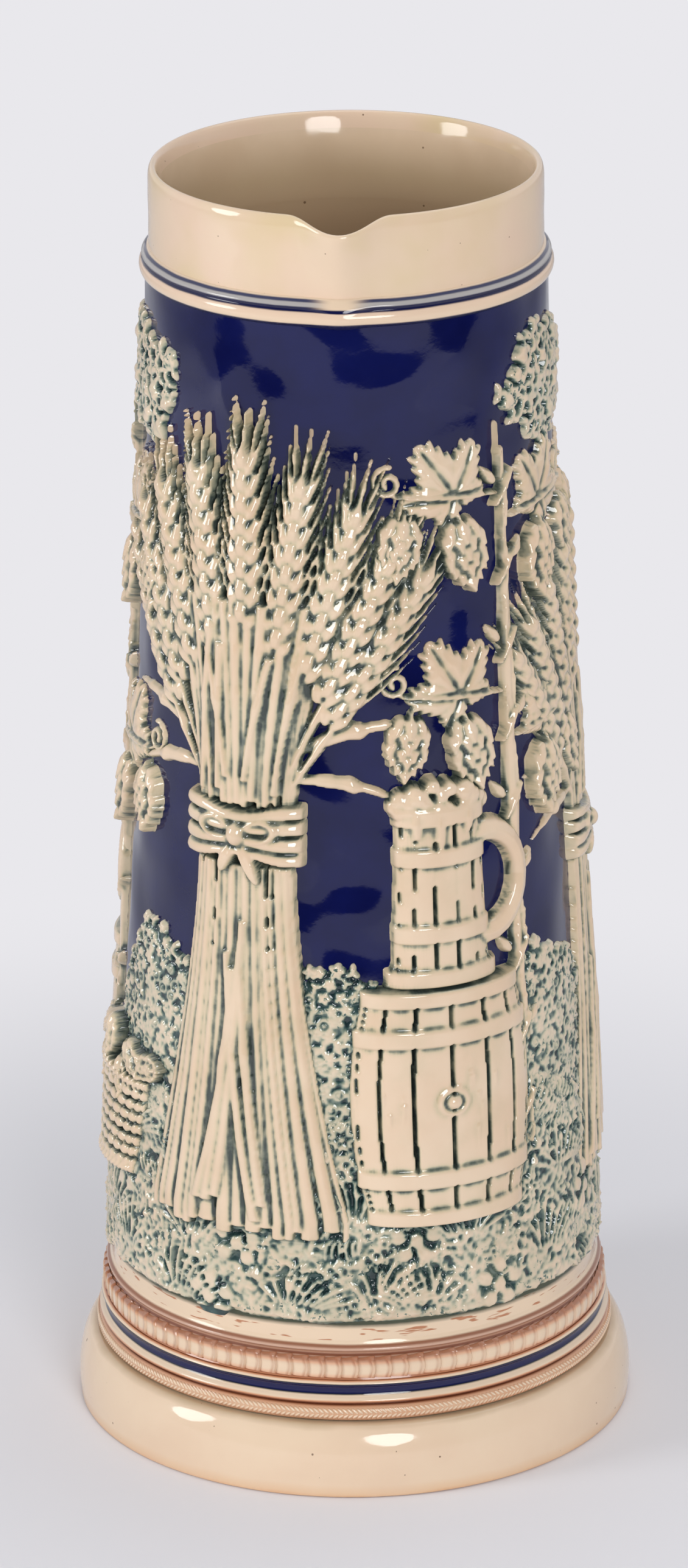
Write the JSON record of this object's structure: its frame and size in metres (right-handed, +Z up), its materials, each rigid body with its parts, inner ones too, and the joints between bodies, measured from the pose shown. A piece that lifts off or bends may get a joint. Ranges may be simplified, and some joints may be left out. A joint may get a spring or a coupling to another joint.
{
  "type": "relief moulded stoneware beer jug",
  "caption": "Tall tapered stoneware beer jug with a collar, a pulled pouring lip, a strap handle, a moulded foot and a blue panel of barley and hop relief.",
  "frame": {"origin": "centre of the circle that the foot stands on, on the table's plane", "axes": "+Z up through the mouth, -Y towards the pouring lip, +Y towards the handle, +X to the right of someone who faces the lip"},
  "size_m": [0.1608, 0.1893, 0.37],
  "materials": {
    "cream_glaze": "clear gloss glaze over cream stoneware",
    "cobalt_glaze": "deep cobalt gloss glaze",
    "relief_glaze": "clear gloss glaze over cream relief, with a dark wash in its recesses",
    "meadow_wash": "clear gloss glaze over cream relief with a blue-green wash",
    "russet_wash": "clear gloss glaze over cream bands with a brown wash"
  },
  "bodies": {
    "root": {"floor_slab": "cream_glaze", "body_wall": "cobalt_glaze", "foot_ring": "cream_glaze", "neck_collar": "cream_glaze", "neck_bead": "cream_glaze", "bead_band": "russet_wash", "groove_band": "cobalt_glaze", "rope_band": "russet_wash", "ground_band": "meadow_wash", "handle_strap": "cobalt_glaze", "handle_root_upper": "relief_glaze", "handle_root_lower": "relief_glaze", "right_cask": "relief_glaze", "right_tankard": "relief_glaze", "left_cask": "relief_glaze", "left_tankard": "relief_glaze", "left_basket": "relief_glaze", "left_heap": "relief_glaze", "front_skirt": "relief_glaze", "front_sash": "relief_glaze", "front_crown": "relief_glaze", "side_skirt": "relief_glaze", "side_sash": "relief_glaze", "side_crown": "relief_glaze", "back_skirt": "relief_glaze", "back_sash": "relief_glaze", "back_crown": "relief_glaze", "right_pole": "relief_glaze", "right_spray_1": "relief_glaze", "right_spray_2": "relief_glaze", "right_spray_3": "relief_glaze", "right_spray_4": "relief_glaze", "far_pole": "relief_glaze", "far_spray_1": "relief_glaze", "far_spray_2": "relief_glaze", "far_spray_3": "relief_glaze", "far_spray_4": "relief_glaze", "left_pole": "relief_glaze", "left_spray_1": "relief_glaze", "left_spray_2": "relief_glaze", "left_spray_3": "relief_glaze", "bough_left": "meadow_wash", "bough_right": "meadow_wash", "bough_back_left": "meadow_wash", "bough_back_right": "meadow_wash", "bush_front": "meadow_wash", "bush_left": "meadow_wash", "bush_right": "meadow_wash", "bush_back_left": "meadow_wash", "bush_back_right": "meadow_wash"}
  },
  "joints": []
}
